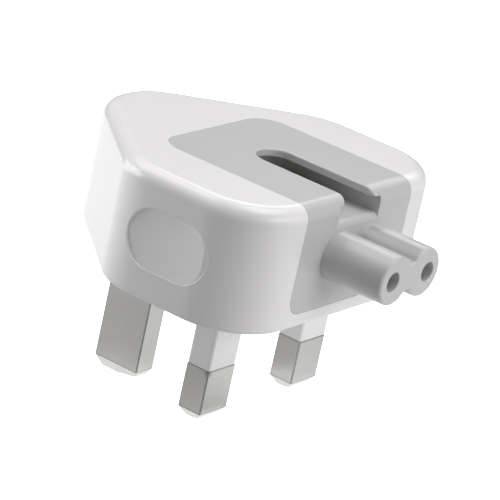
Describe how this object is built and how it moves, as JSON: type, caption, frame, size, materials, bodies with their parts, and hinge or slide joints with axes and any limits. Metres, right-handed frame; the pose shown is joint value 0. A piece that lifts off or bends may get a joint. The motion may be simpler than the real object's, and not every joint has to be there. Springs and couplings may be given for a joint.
{
  "type": "charger plug adapter",
  "caption": "Mains plug head for a charger brick: moulded body on flat blade pins, with a grey insert that carries an undercut slot and a figure-eight socket nose.",
  "frame": {"origin": "on the pin face, midway between the two short pins", "axes": "+Z away from the pin face, pins along -Z; the short pins lie along X with line at +X; earth pin at +Y; socket nose towards -Y"},
  "size_m": [0.0474, 0.0539, 0.0411],
  "materials": {
    "white_plastic": "smooth gloss white moulding",
    "grey_plastic": "satin light grey moulding",
    "plated_pin": "nickel plate, drawn and slightly brushed along the pin",
    "sleeve_plastic": "satin white sleeve",
    "inner_plastic": "plain natural moulding",
    "contact_brass": "bright stamped and turned brass"
  },
  "bodies": {
    "root": {"housing": "white_plastic", "slot_insert": "grey_plastic", "line_pin": "plated_pin", "neutral_pin": "plated_pin", "earth_pin": "plated_pin", "line_pin_sleeve": "sleeve_plastic", "neutral_pin_sleeve": "sleeve_plastic", "pin_retainer": "inner_plastic", "line_link": "contact_brass", "neutral_link": "contact_brass", "line_contact": "contact_brass", "neutral_contact": "contact_brass"}
  },
  "joints": []
}
